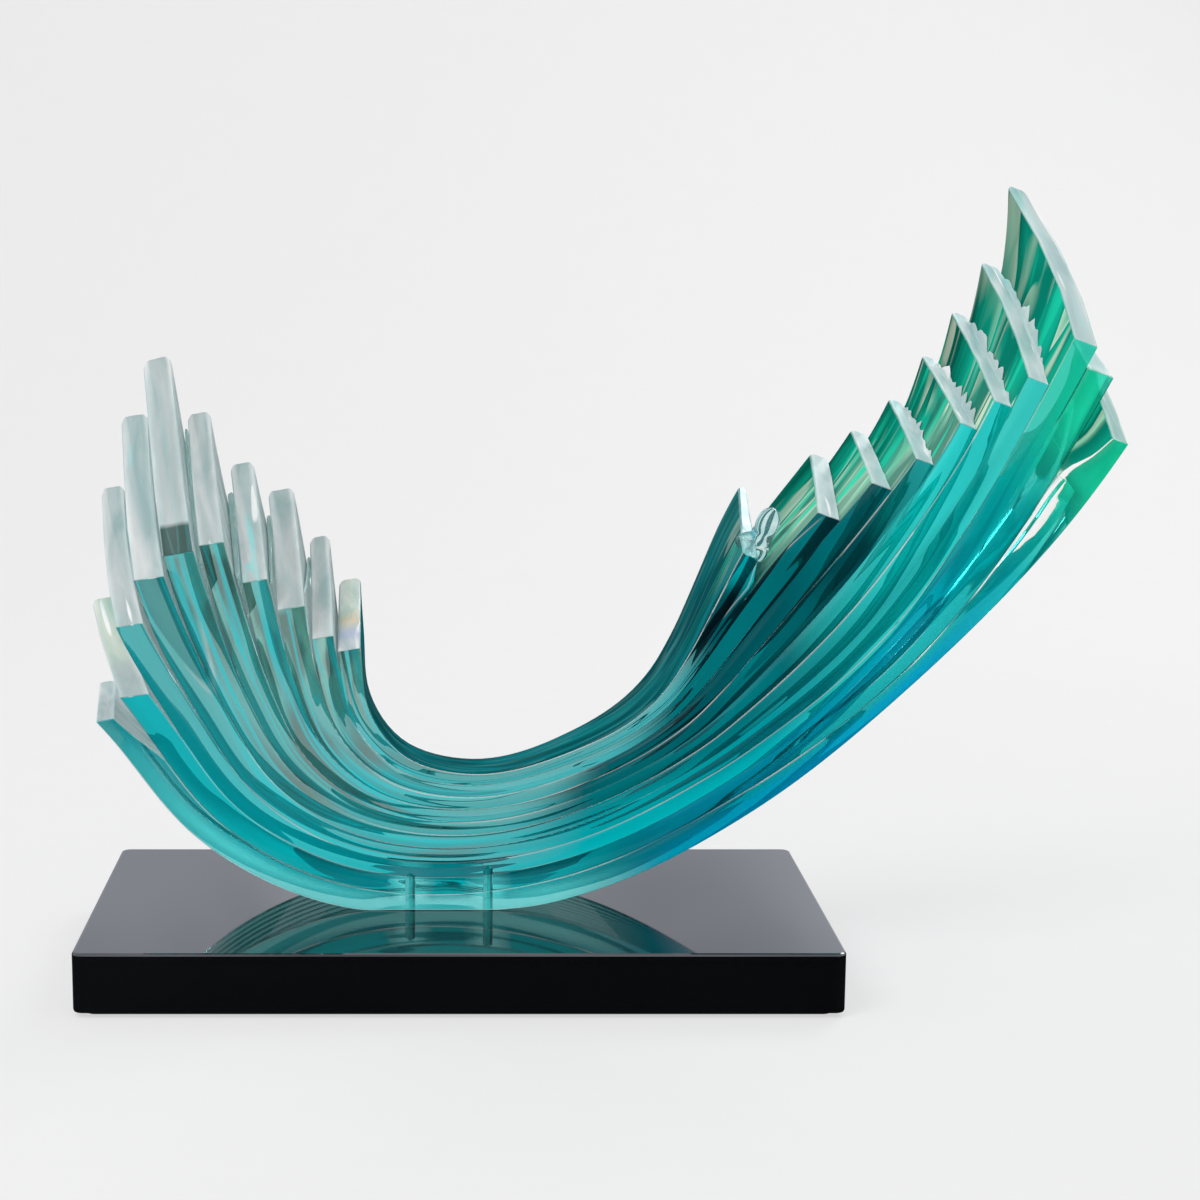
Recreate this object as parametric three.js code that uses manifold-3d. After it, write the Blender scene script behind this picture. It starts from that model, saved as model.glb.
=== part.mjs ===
// Wave sculpture: ten bent resin bars stacked like a leaf spring on a gloss black plinth.
// Millimetres, +Z up, +X to the viewer's right, +Y away from the viewer.
// The origin is the centre of the underside.
import * as THREE from 'three';
import Module from 'manifold-3d';

const wasm = await Module();
wasm.setup();

// Clearances
const bondGap = 0.3;
const webGap = 0.55;
const boreClearance = 0.3;

// Plinth and its felt
const plinthLength = 300;
const plinthDepth = 150;
const plinthTop = 26;
const plinthCorner = 3;
const plinthBevel = 1;
const feltThickness = 1.5;
const feltInset = 5;
const plinthBottom = feltThickness + bondGap;

// Two studs with their washers and nuts, hidden in counterbores under the plinth. Their reach above
// the plinth is as drawn, and is scaled to the height of the wave.
const studDiameter = 4;
const studPointAngle = 118;
const studX = { left: -19.5, right: 12.5 };
const studReach = { left: 14.5, right: 17.5 };
const studFromFront = 9;
const counterboreDiameter = 16;
const counterboreDepth = 7.5;
const washerDiameter = 12;
const washerThickness = 1;
const nutAcrossFlats = 7;
const nutThickness = 3.2;
const studEndBelowNut = 1.2;
const boredBars = 3;

// How finely round forms are divided, and how often a halving search halves
const roundSegments = 28;
const cornerSegments = 5;
const bevelSegments = 2;
const searchSteps = 40;

// The stack of bars: height of the highest tip over the plinth, depth, position and edge chamfer
const barCount = 10;
const waveHeight = 292;
const waveDepth = 49;
const waveFront = -18.7;
const edgeChamfer = 0.8;
const depthStrips = 3;

// The stack shares its stations between these two, and each bar runs on from there to its own ends
const sharedFrom = 2.3;
const sharedTo = 7.6;
const sharedSteps = 21;
const armSteps = { left: 10, right: 13 };
const webSteps = 7;

// Outer edge of the lowest bar and inner edge of the top bar, as points [x, height above the plinth]
// at matching stations: five along the left arm, the foot, and six along the right arm.
// These heights and those of the bars' ends are as drawn, and are scaled to the height of the wave.
const outerEdge = [
  [-180, 195], [-170, 112], [-138, 69], [-106, 30], [-61, 5],
  [-5, -2.5],
  [58, 9], [122, 43], [182, 93], [240, 155], [278, 212], [303, 262],
];
const innerEdge = [
  [-58, 260], [-42, 178], [-39, 109], [-35, 82], [-20, 64],
  [8, 57.5],
  [41, 65], [78, 86], [116, 147], [173, 213], [196, 266], [214, 314],
];
const footStation = 5;
const lastStation = outerEdge.length - 1;

// The share of the stack below the top of bar k is (k / barCount) to a power. Under 1 the low bars are
// the thicker ones. The power bumps up halfway along the right arm, and the top bar swells near its
// right end.
const fanPowerLeft = 1;
const fanPowerFoot = 0.8;
const fanPowerRight = 0.68;
const fanBump = { station: 8, width: 0.75, rise: 0.38 };
const topSwell = { station: 8.5, width: 0.5, rise: 8 };

// Bars stop growing at these thicknesses, so gaps open between them towards the tips; those of the
// left arm are listed from the second bar up. The lowest and the top bar may grow thicker. The lowest
// tapers towards both its tips, and the top one towards its right tip.
const leftThicknesses = [10.7, 10.6, 12.4, 12.8, 10.4, 10.4, 11.4, 9, 9.8];
const rightThickness = 11;
const freeThickness = 22;
const outerBarTip = 6.5;
const outerBarTaper = { leftFrom: 3, leftTo: 1.7, rightFrom: 9, rightTo: 9.65 };
const topBarTip = 3.4;
const topBarTaper = { from: 7.3, to: 8.3 };

// The back edge leans inwards along the right arm and dips a little at the foot
const leanArm = 22;
const leanArmPower = 2;
const leanTip = 24;
const leanTipPower = 5;
const backDip = 5;
const backDipStations = 3.5;

// Heights above the plinth at which each bar ends, lowest bar first
const leftFrontHeights = [80, 90, 119, 138, 148, 152, 137, 126, 114, 109];
const leftBackHeights = [86, 122, 169, 199, 223, 200, 179, 168, 148, 130];
const rightFrontHeights = [193, 220, 232, 217, 208, 199, 185, 175, 163, 147];
const rightBackHeights = [232, 252, 292, 261, 241, 223, 205, 192, 182, 169];
const leftEndSlope = 0.15;
const rightEndSlope = 0.35;

// Clear resin webs that fill the gaps between bars of the left arm: the bar below each and its heights
const websAbove = [5, 6, 7, 8];
const webFrontHeights = [143, 138, 124, 112];
const webBackHeights = [196, 168, 158, 140];
const webRootThickness = 0.8;
const webInset = 2;

// Colours and finishes: the bars go from blue at the bottom of the stack to grey-green at its top
const lowestTeal = new THREE.Color(0x0a8fa6);
const topTeal = new THREE.Color(0x409d95);
const webColour = 0x9cc4c4;
const plinthColour = 0x08090b;
const feltColour = 0x15161a;
const steelColour = 0xb9bec3;
const resinFinish = { roughness: 0.08, metalness: 0 };
const webFinish = { roughness: 0.2, metalness: 0 };
const plinthFinish = { roughness: 0.05, metalness: 0 };
const feltFinish = { roughness: 1, metalness: 0 };
const steelFinish = { roughness: 0.3, metalness: 1 };

const group = new THREE.Group();
group.name = 'wave_sculpture';

function addPart(name, geometry, colour, finish) {
  const material = new THREE.MeshStandardMaterial({ color: colour, ...finish });
  const mesh = new THREE.Mesh(geometry, material);
  mesh.name = name;
  group.add(mesh);
}

function twoDigits(number) {
  return String(number).padStart(2, '0');
}

function toManifold(geometry) {
  const plain = geometry.index ? geometry.toNonIndexed() : geometry;
  const positions = plain.getAttribute('position');
  const seen = new Map();
  const vertices = [];
  const triangles = [];
  for (let i = 0; i < positions.count; i += 1) {
    const corner = [positions.getX(i), positions.getY(i), positions.getZ(i)];
    const key = corner.map((value) => value.toFixed(4)).join(' ');
    if (!seen.has(key)) {
      seen.set(key, vertices.length / 3);
      vertices.push(...corner);
    }
    triangles.push(seen.get(key));
  }
  const kept = [];
  for (let i = 0; i < triangles.length; i += 3) {
    const [a, b, c] = triangles.slice(i, i + 3);
    if (a !== b && b !== c && c !== a) {
      kept.push(a, b, c);
    }
  }
  const mesh = new wasm.Mesh({
    numProp: 3,
    vertProperties: Float32Array.from(vertices),
    triVerts: Uint32Array.from(kept),
  });
  return new wasm.Manifold(mesh);
}

function fromManifold(solid) {
  const mesh = solid.getMesh();
  const geometry = new THREE.BufferGeometry();
  geometry.setAttribute('position', new THREE.BufferAttribute(Float32Array.from(mesh.vertProperties), 3));
  geometry.setIndex(new THREE.BufferAttribute(Uint32Array.from(mesh.triVerts), 1));
  return geometry;
}

function cutAway(geometry, cutters) {
  let solid = toManifold(geometry);
  for (const cutter of cutters) {
    solid = solid.subtract(toManifold(cutter));
  }
  return fromManifold(solid);
}

// A round rod along Z whose profile is a list of [radius, height] points on and off the axis
function turned(profile, x, y) {
  const points = profile.map(([radius, height]) => new THREE.Vector2(radius, height));
  const geometry = new THREE.LatheGeometry(points, roundSegments);
  geometry.rotateX(Math.PI / 2);
  geometry.translate(x, y, 0);
  return geometry;
}

function rod(radius, bottom, top, x, y) {
  return turned([[0, bottom], [radius, bottom], [radius, top], [0, top]], x, y);
}

function roundedPlate(length, depth, corner, bottom, top, bevel) {
  const halfLength = length / 2 - bevel;
  const halfDepth = depth / 2 - bevel;
  const shape = new THREE.Shape();
  shape.moveTo(-halfLength + corner, -halfDepth);
  shape.absarc(halfLength - corner, -halfDepth + corner, corner, -Math.PI / 2, 0);
  shape.absarc(halfLength - corner, halfDepth - corner, corner, 0, Math.PI / 2);
  shape.absarc(-halfLength + corner, halfDepth - corner, corner, Math.PI / 2, Math.PI);
  shape.absarc(-halfLength + corner, -halfDepth + corner, corner, Math.PI, 1.5 * Math.PI);
  const geometry = new THREE.ExtrudeGeometry(shape, {
    depth: top - bottom - 2 * bevel,
    curveSegments: cornerSegments,
    bevelEnabled: bevel > 0,
    bevelThickness: bevel,
    bevelSize: bevel,
    bevelSegments,
  });
  geometry.translate(0, 0, bottom + bevel);
  return geometry;
}

function ring(outline, boreRadius, thickness, x, y, bottom) {
  const hole = new THREE.Path();
  hole.absarc(0, 0, boreRadius, 0, 2 * Math.PI, true);
  outline.holes.push(hole);
  const geometry = new THREE.ExtrudeGeometry(outline, {
    depth: thickness,
    curveSegments: roundSegments / 2,
    bevelEnabled: false,
  });
  geometry.translate(x, y, bottom);
  return geometry;
}

// The two driving curves, both read at a station between 0 and lastStation
const heightScale = waveHeight / Math.max(...rightBackHeights);
function curveThrough(points) {
  const corners = points.map(([x, height]) => new THREE.Vector3(x, 0, height * heightScale));
  return new THREE.CatmullRomCurve3(corners, false, 'centripetal');
}
const outerCurve = curveThrough(outerEdge);
const innerCurve = curveThrough(innerEdge);

function bellCurve(bell, station) {
  const away = (station - bell.station) / bell.width;
  return bell.rise * Math.exp(-away * away);
}

function fanPower(station) {
  if (station < footStation) {
    return THREE.MathUtils.lerp(fanPowerLeft, fanPowerFoot, station / footStation);
  }
  const along = (station - footStation) / (lastStation - footStation);
  return THREE.MathUtils.lerp(fanPowerFoot, fanPowerRight, along) + bellCurve(fanBump, station);
}

// How far the back edge lies inside the front edge at a station, for a given share of the stack
function backLean(share, station) {
  const along = Math.max(0, station - footStation) / (lastStation - footStation);
  const fromFoot = Math.min(1, Math.abs(station - footStation) / backDipStations);
  const nearFoot = (1 + Math.cos(Math.PI * fromFoot)) / 2;
  const lean = leanArm * Math.pow(along, leanArmPower) + leanTip * Math.pow(along, leanTipPower);
  return lean - backDip * share * nearFoot;
}

// A point of the stack: station along the bars, offset from the outer edge, share of the depth
function stackPoint(station, offset, depthShare) {
  const outer = outerCurve.getPoint(station / lastStation);
  const inner = innerCurve.getPoint(station / lastStation);
  const across = inner.clone().sub(outer);
  const full = across.length();
  const lean = backLean(offset / full, station) * depthShare;
  const point = outer.addScaledVector(across.normalize(), offset + lean);
  point.y = waveFront + waveDepth * depthShare;
  point.z += plinthTop;
  return point;
}

// Offset of the seam above a number of bars, measured from the outer edge
function seamOffset(bars, station) {
  const outer = outerCurve.getPoint(station / lastStation);
  const inner = innerCurve.getPoint(station / lastStation);
  const swell = bars === barCount ? bellCurve(topSwell, station) : 0;
  return outer.distanceTo(inner) * Math.pow(bars / barCount, fanPower(station)) + swell;
}

function thicknessCap(bar, station) {
  if (bar === 1) {
    const leftTaper = 1 - THREE.MathUtils.smoothstep(station, outerBarTaper.leftTo, outerBarTaper.leftFrom);
    const rightTaper = THREE.MathUtils.smoothstep(station, outerBarTaper.rightFrom, outerBarTaper.rightTo);
    return THREE.MathUtils.lerp(freeThickness, outerBarTip, Math.max(leftTaper, rightTaper));
  }
  if (station < footStation) {
    return leftThicknesses[bar - 2];
  }
  if (bar < barCount) {
    return rightThickness;
  }
  const taper = THREE.MathUtils.smoothstep(station, topBarTaper.from, topBarTaper.to);
  return THREE.MathUtils.lerp(freeThickness, topBarTip, taper);
}

// Offsets of the outer and inner face of a bar at a station, both measured from the outer edge.
// A bar that stops growing stays in the middle of its room, but the lowest keeps its outer face in
// place, and the top one its inner face along the right arm.
function barFaces(bar, station) {
  const low = seamOffset(bar - 1, station);
  const high = seamOffset(bar, station);
  const thickness = Math.min(high - low - bondGap, thicknessCap(bar, station));
  let below = (high - low - thickness) / 2;
  if (bar === 1) {
    below = bondGap / 2;
  } else if (bar === barCount && station > footStation) {
    below = high - low - thickness - bondGap / 2;
  }
  return [low + below, low + below + thickness];
}

function webFaces(below, station) {
  const outer = barFaces(below, station)[1] + webGap;
  const inner = barFaces(below + 1, station)[0] - webGap;
  return [outer, inner];
}

// The station of the left arm at which the gap above a bar is wide enough for a web
function webRoot(below) {
  let wide = 0;
  let narrow = sharedFrom;
  for (let i = 0; i < searchSteps; i += 1) {
    const middle = (wide + narrow) / 2;
    const [outer, inner] = webFaces(below, middle);
    if (inner - outer > webRootThickness) {
      wide = middle;
    } else {
      narrow = middle;
    }
  }
  return wide;
}

// The station at which one face of a bar reaches a height, searched from an arm's root to its tip
function stationAtHeight(faces, face, height, depthShare, root, tip) {
  let low = root;
  let high = tip;
  for (let i = 0; i < searchSteps; i += 1) {
    const middle = (low + high) / 2;
    const point = stackPoint(middle, faces(middle)[face], depthShare);
    if (point.z - plinthTop < height) {
      low = middle;
    } else {
      high = middle;
    }
  }
  return (low + high) / 2;
}

// The end of a bar: its station on the outer and inner face, at the front and at the back
function barEnd(faces, frontHeight, backHeight, slope, root, tip) {
  const atFace = (face, height, depthShare) => {
    const middle = stationAtHeight(faces, face, height, depthShare, root, tip);
    const [outer, inner] = faces(middle);
    const rise = (face - 0.5) * slope * (inner - outer);
    return stationAtHeight(faces, face, height + rise, depthShare, root, tip);
  };
  return {
    front: [atFace(0, frontHeight, 0), atFace(1, frontHeight, 0)],
    back: [atFace(0, backHeight, 1), atFace(1, backHeight, 1)],
  };
}

function endStation(end, faceShare, depthShare) {
  const front = THREE.MathUtils.lerp(end.front[0], end.front[1], faceShare);
  const back = THREE.MathUtils.lerp(end.back[0], end.back[1], faceShare);
  return THREE.MathUtils.lerp(front, back, depthShare);
}

// Corners of a chamfered section, once around: out along the outer face and back along the inner one
function sectionCorners(chamfer, inset) {
  const face = inset / waveDepth;
  const edge = (inset + chamfer) / waveDepth;
  const outerRow = [];
  const innerRow = [];
  for (let strip = 0; strip <= depthStrips; strip += 1) {
    const depth = THREE.MathUtils.lerp(edge, 1 - edge, strip / depthStrips);
    outerRow.push({ depth, face: 0, drop: 0 });
    innerRow.unshift({ depth, face: 1, drop: 0 });
  }
  const backPair = [0, 1].map((side) => ({ depth: 1 - face, face: side, drop: chamfer }));
  const frontPair = [1, 0].map((side) => ({ depth: face, face: side, drop: chamfer }));
  return [...outerRow, ...backPair, ...innerRow, ...frontPair];
}

// Stations of one corner along a bar: its own way up each arm, shared stations in between
function cornerStations(leftEnd, rightEnd, corner) {
  const left = endStation(leftEnd, corner.face, corner.depth);
  const right = endStation(rightEnd, corner.face, corner.depth);
  const stations = [];
  for (let step = 0; step < armSteps.left; step += 1) {
    stations.push(THREE.MathUtils.lerp(left, sharedFrom, step / armSteps.left));
  }
  for (let step = 0; step < sharedSteps; step += 1) {
    stations.push(THREE.MathUtils.lerp(sharedFrom, sharedTo, step / sharedSteps));
  }
  for (let step = 0; step <= armSteps.right; step += 1) {
    stations.push(THREE.MathUtils.lerp(sharedTo, right, step / armSteps.right));
  }
  return stations;
}

// A closed body swept along the stations of its section corners
function sweptBody(faces, corners, stationsOf) {
  const tracks = corners.map((corner) => stationsOf(corner));
  const count = corners.length;
  const last = tracks[0].length - 1;
  const positions = [];
  for (let step = 0; step <= last; step += 1) {
    corners.forEach((corner, i) => {
      const [outer, inner] = faces(tracks[i][step]);
      const offset = corner.face === 0 ? outer + corner.drop : inner - corner.drop;
      const point = stackPoint(tracks[i][step], offset, corner.depth);
      positions.push(point.x, point.y, point.z);
    });
  }
  const index = [];
  for (let step = 0; step < last; step += 1) {
    for (let i = 0; i < count; i += 1) {
      const a = step * count + i;
      const b = step * count + ((i + 1) % count);
      index.push(a, b, b + count, a, b + count, a + count);
    }
  }
  const top = last * count;
  for (let strip = -1; strip <= depthStrips; strip += 1) {
    const a = (strip + count) % count;
    const b = strip + 1;
    const c = count - 4 - strip;
    const d = (c + 1) % count;
    index.push(a, c, b, a, d, c);
    index.push(top + a, top + b, top + c, top + a, top + c, top + d);
  }
  const geometry = new THREE.BufferGeometry();
  geometry.setAttribute('position', new THREE.Float32BufferAttribute(positions, 3));
  geometry.setIndex(index);
  return geometry;
}

// Studs stand in the foot a little behind its front face
const studY = waveFront + studFromFront;
const studRadius = studDiameter / 2;
const studBoreRadius = studRadius + boreClearance;
const studTipHeight = studRadius / Math.tan(THREE.MathUtils.degToRad(studPointAngle / 2));
const washerTop = plinthBottom + counterboreDepth - bondGap;
const nutTop = washerTop - washerThickness - bondGap;
const studBottom = nutTop - nutThickness - studEndBelowNut;
const sides = Object.keys(studX);

function studProfile(side, extra) {
  const tip = plinthTop + studReach[side] * heightScale + extra;
  const radius = studRadius + extra;
  return [[0, studBottom], [radius, studBottom], [radius, tip - studTipHeight], [0, tip]];
}

const studBores = sides.map((side) => turned(studProfile(side, boreClearance), studX[side], studY));
const belowFoot = new THREE.BoxGeometry(plinthLength, plinthDepth, plinthTop);
belowFoot.translate(0, 0, plinthTop / 2 + bondGap);

const barCorners = sectionCorners(edgeChamfer, 0);
for (let bar = 1; bar <= barCount; bar += 1) {
  const faces = (station) => barFaces(bar, station);
  const heights = [leftFrontHeights, leftBackHeights, rightFrontHeights, rightBackHeights];
  const [leftFront, leftBack, rightFront, rightBack] = heights.map((list) => list[bar - 1] * heightScale);
  const leftEnd = barEnd(faces, leftFront, leftBack, leftEndSlope, sharedFrom, 0);
  const rightEnd = barEnd(faces, rightFront, rightBack, rightEndSlope, sharedTo, lastStation);
  const stationsOf = (corner) => cornerStations(leftEnd, rightEnd, corner);
  let geometry = sweptBody(faces, barCorners, stationsOf);
  if (bar === 1) {
    geometry = cutAway(geometry, [belowFoot]);
  }
  if (bar <= boredBars) {
    geometry = cutAway(geometry, studBores);
  }
  const teal = lowestTeal.clone().lerp(topTeal, (bar - 1) / (barCount - 1));
  addPart(`bar_${twoDigits(bar)}`, geometry, teal, resinFinish);
}

const webCorners = sectionCorners(bondGap, webInset);
const webShares = Array.from({ length: webSteps + 1 }, (_, step) => step / webSteps);
websAbove.forEach((below, i) => {
  const faces = (station) => webFaces(below, station);
  const root = webRoot(below);
  const [frontHeight, backHeight] = [webFrontHeights[i] * heightScale, webBackHeights[i] * heightScale];
  const tipEnd = barEnd(faces, frontHeight, backHeight, leftEndSlope, root, 0);
  const stationsOf = (corner) => {
    const tip = endStation(tipEnd, corner.face, corner.depth);
    return webShares.map((share) => THREE.MathUtils.lerp(tip, root, share));
  };
  const name = `web_${twoDigits(below)}_${twoDigits(below + 1)}`;
  addPart(name, sweptBody(faces, webCorners, stationsOf), webColour, webFinish);
});

const plinthBores = sides.flatMap((side) => [
  rod(studBoreRadius, 0, 2 * plinthTop, studX[side], studY),
  rod(counterboreDiameter / 2, 0, plinthBottom + counterboreDepth, studX[side], studY),
]);
const plinthSize = [plinthLength, plinthDepth];
const plinthBlock = roundedPlate(...plinthSize, plinthCorner, plinthBottom, plinthTop, plinthBevel);
addPart('base_plinth', cutAway(plinthBlock, plinthBores), plinthColour, plinthFinish);

const feltSize = [plinthLength - 2 * feltInset, plinthDepth - 2 * feltInset];
const felt = roundedPlate(...feltSize, plinthCorner, 0, feltThickness, 0);
addPart('base_felt', felt, feltColour, feltFinish);

for (const side of sides) {
  const stud = turned(studProfile(side, 0), studX[side], studY);
  addPart(`stud_${side}`, stud, steelColour, steelFinish);

  const washerOutline = new THREE.Shape();
  washerOutline.absarc(0, 0, washerDiameter / 2, 0, 2 * Math.PI);
  const washerBottom = washerTop - washerThickness;
  const washer = ring(washerOutline, studBoreRadius, washerThickness, studX[side], studY, washerBottom);
  addPart(`washer_${side}`, washer, steelColour, steelFinish);

  const nutOutline = new THREE.Shape();
  const nutRadius = nutAcrossFlats / 2 / Math.cos(Math.PI / 6);
  for (let i = 0; i < 6; i += 1) {
    const angle = (i * Math.PI) / 3;
    const corner = [nutRadius * Math.cos(angle), nutRadius * Math.sin(angle)];
    if (i === 0) {
      nutOutline.moveTo(...corner);
    } else {
      nutOutline.lineTo(...corner);
    }
  }
  nutOutline.closePath();
  const nut = ring(nutOutline, studBoreRadius, nutThickness, studX[side], studY, nutTop - nutThickness);
  addPart(`nut_${side}`, nut, steelColour, steelFinish);
}

export default group;
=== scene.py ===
import math

import bmesh
import bpy
import numpy as np
from bpy.props import FloatProperty, FloatVectorProperty, PointerProperty
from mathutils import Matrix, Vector, noise


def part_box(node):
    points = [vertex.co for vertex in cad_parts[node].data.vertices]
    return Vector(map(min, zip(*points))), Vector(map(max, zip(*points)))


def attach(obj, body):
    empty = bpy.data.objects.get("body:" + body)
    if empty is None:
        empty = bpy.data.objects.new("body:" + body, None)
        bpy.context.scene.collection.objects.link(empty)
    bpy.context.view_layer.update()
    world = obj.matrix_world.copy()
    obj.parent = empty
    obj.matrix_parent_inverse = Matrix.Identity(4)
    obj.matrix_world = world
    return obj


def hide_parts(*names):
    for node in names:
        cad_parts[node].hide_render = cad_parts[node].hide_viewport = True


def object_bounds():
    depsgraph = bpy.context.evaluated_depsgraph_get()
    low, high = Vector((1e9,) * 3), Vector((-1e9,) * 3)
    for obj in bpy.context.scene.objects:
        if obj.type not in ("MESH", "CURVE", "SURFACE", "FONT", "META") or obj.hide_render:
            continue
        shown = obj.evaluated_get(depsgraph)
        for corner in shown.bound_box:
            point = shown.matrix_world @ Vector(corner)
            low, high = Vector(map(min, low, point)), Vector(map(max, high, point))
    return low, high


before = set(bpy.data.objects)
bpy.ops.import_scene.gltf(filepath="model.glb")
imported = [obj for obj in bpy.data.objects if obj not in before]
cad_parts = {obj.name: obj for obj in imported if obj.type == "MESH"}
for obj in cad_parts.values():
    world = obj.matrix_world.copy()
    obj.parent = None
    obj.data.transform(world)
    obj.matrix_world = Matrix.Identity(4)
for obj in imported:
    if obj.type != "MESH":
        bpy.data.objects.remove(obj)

bl_info = {
    "name": "Resin wave sculpture",
    "version": (1, 0, 0),
    "blender": (4, 5, 0),
    "location": "View3D > Sidebar > Wave",
    "description": "Builds the looks of a resin wave on a black plinth around its packed model",
    "category": "Object",
}


def nodes_of(*kinds):
    """CAD nodes whose names begin with one of these words, in order."""
    return sorted(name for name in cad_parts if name.split("_")[0] in kinds)


BODY = "root"
BAR_NAMES, WEB_NAMES, STUD_NAMES = nodes_of("bar"), nodes_of("web"), nodes_of("stud")
FIXING_NAMES = nodes_of("stud", "washer", "nut")
PLINTH_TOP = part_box("base_plinth")[1][2]
CAD_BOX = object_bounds()

# How the rows of points in the solids are found, in metres, digits and points
MERGE_DISTANCE = 1e-6
ROW_TOLERANCE = 2e-5
ROW_DIGITS = 5
LEAST_ROW_POINTS = 12
# Faces of two bars that are nearer than this are bonded
BOND_REACH = 0.0006

# Sections: steps of a rounded edge and of the depth, and places across the thickness
ARC_STEPS = 4
DEPTH_STEPS = 36
ACROSS = np.array([0.0, 0.05, 0.2, 0.35, 0.5, 0.65, 0.8, 0.95, 1.0])
RUNGS = len(ACROSS) - 1
LEAST_STATIONS = 8
# Most of a station that the bevel of an end may take up
MOST_PULL = 0.9
SHARP_ANGLE = math.radians(38)
# Share of the depth that the grain keeps on the outer face
OUTER_GRAIN = 0.3
# Finishes of a skin's faces
SIDE, END, RIM, INNER, OUTER, BOND, LOOSE = FINISHES = range(7)

TOP_BAR = len(BAR_NAMES)
# Light that the seam above each bar catches, lowest bar first: on the right arm and elsewhere
SEAM_LIGHT_RIGHT = (0.9, 0.0, 0.3, 0.0, 0.75, 0.0, 0.8, 0.0, 0.0, 0.9)
SEAM_LIGHT_LEFT = (0.5, 0.0, 0.35, 0.0, 0.0, 0.4, 0.0, 0.5, 0.0, 0.8)
# Bars whose left end has a bright vein, a warm back or a dark front
VEINED_TABS = (4, 7)
WARM_TABS = (2, TOP_BAR)
DARK_TAB = TOP_BAR // 2
# Bars that are milky all along, and bars whose right tips are milkier than the others'
MILKY_BARS = (1, 2)
MILKY_TIPS = (1, 2, 3)
# Bars whose right end is torn along its lower edge
FRAYED_BARS = (4, 5, 6, 7)
# The studs stand in this many of the lowest bars, which let the lamps' light through to them
STUDDED_BARS = 3
# Share of a bar's length whose free sides on the left arm are frosted
LOOSE_SHARE = 0.35
# Ripples across a face, and how far apart those of the front and the back are read
RIPPLE_ACROSS, RIPPLE_APART = 2, 5
# Lengths of the saw's marks and of the coarse and fine burrs, the share of the fine ones,
# and how far from the front and back the burrs begin and are whole
SAW_PITCH = 0.006
COARSE_BURR, FINE_BURR = 0.005, 0.0021
FINE_BURR_SHARE = 0.35
BURR_START, BURR_FULL = 0.002, 0.008

IMAGE_SIDE = 1200
SENSOR_WIDTH = 36
# Name, place, width and power of each lamp, and the point that they shine at
LAMPS = (("key_lamp", (-0.9, -0.9, 1.5), 1.0, 14.0), ("back_lamp", (0.9, 1.0, 1.2), 0.8, 9.0))
LAMP_TARGET = Vector((0.05, 0.0, 0.16))
FLOOR_STEPS = 12


def tone(code):
    """Linear colour of a six-digit screen colour."""
    parts = [((code >> shift) & 255) / 255 for shift in (16, 8, 0)]
    return tuple(p / 12.92 if p <= 0.04045 else ((p + 0.055) / 1.055) ** 2.4 for p in parts)


def smooth(low, high, value):
    """0 below low, 1 above high and an even curve between them."""
    share = np.clip((value - low) / (high - low), 0, 1)
    return share * share * (3 - 2 * share)


def bell(value, centre, width):
    """1 at a centre, falling to almost 0 over twice a width."""
    return np.exp(-((value - centre) / width) ** 2)


def blend(a, b, share):
    """Colours between two others."""
    return a + (b - a) * np.asarray(share)[..., None]


def waver(*place):
    """Smooth noise about 0 at a place."""
    return noise.noise(Vector(place))


def hues(settings, *names):
    """Colours of some settings as arrays."""
    return [np.array(getattr(settings, name)) for name in names]


def scaled(colour, share):
    """A darker or lighter shade of a colour setting."""
    return tuple(share * c for c in colour)


def colour_property(label, words, code):
    """A colour setting whose default is a six-digit screen colour."""
    return FloatVectorProperty(name=label, description=words, subtype="COLOR", size=3, min=0, max=1,
                               default=tone(code))


def length_property(label, words, metres):
    """A length setting in metres."""
    return FloatProperty(name=label, description=words, default=metres, unit="LENGTH", precision=4)


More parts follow.
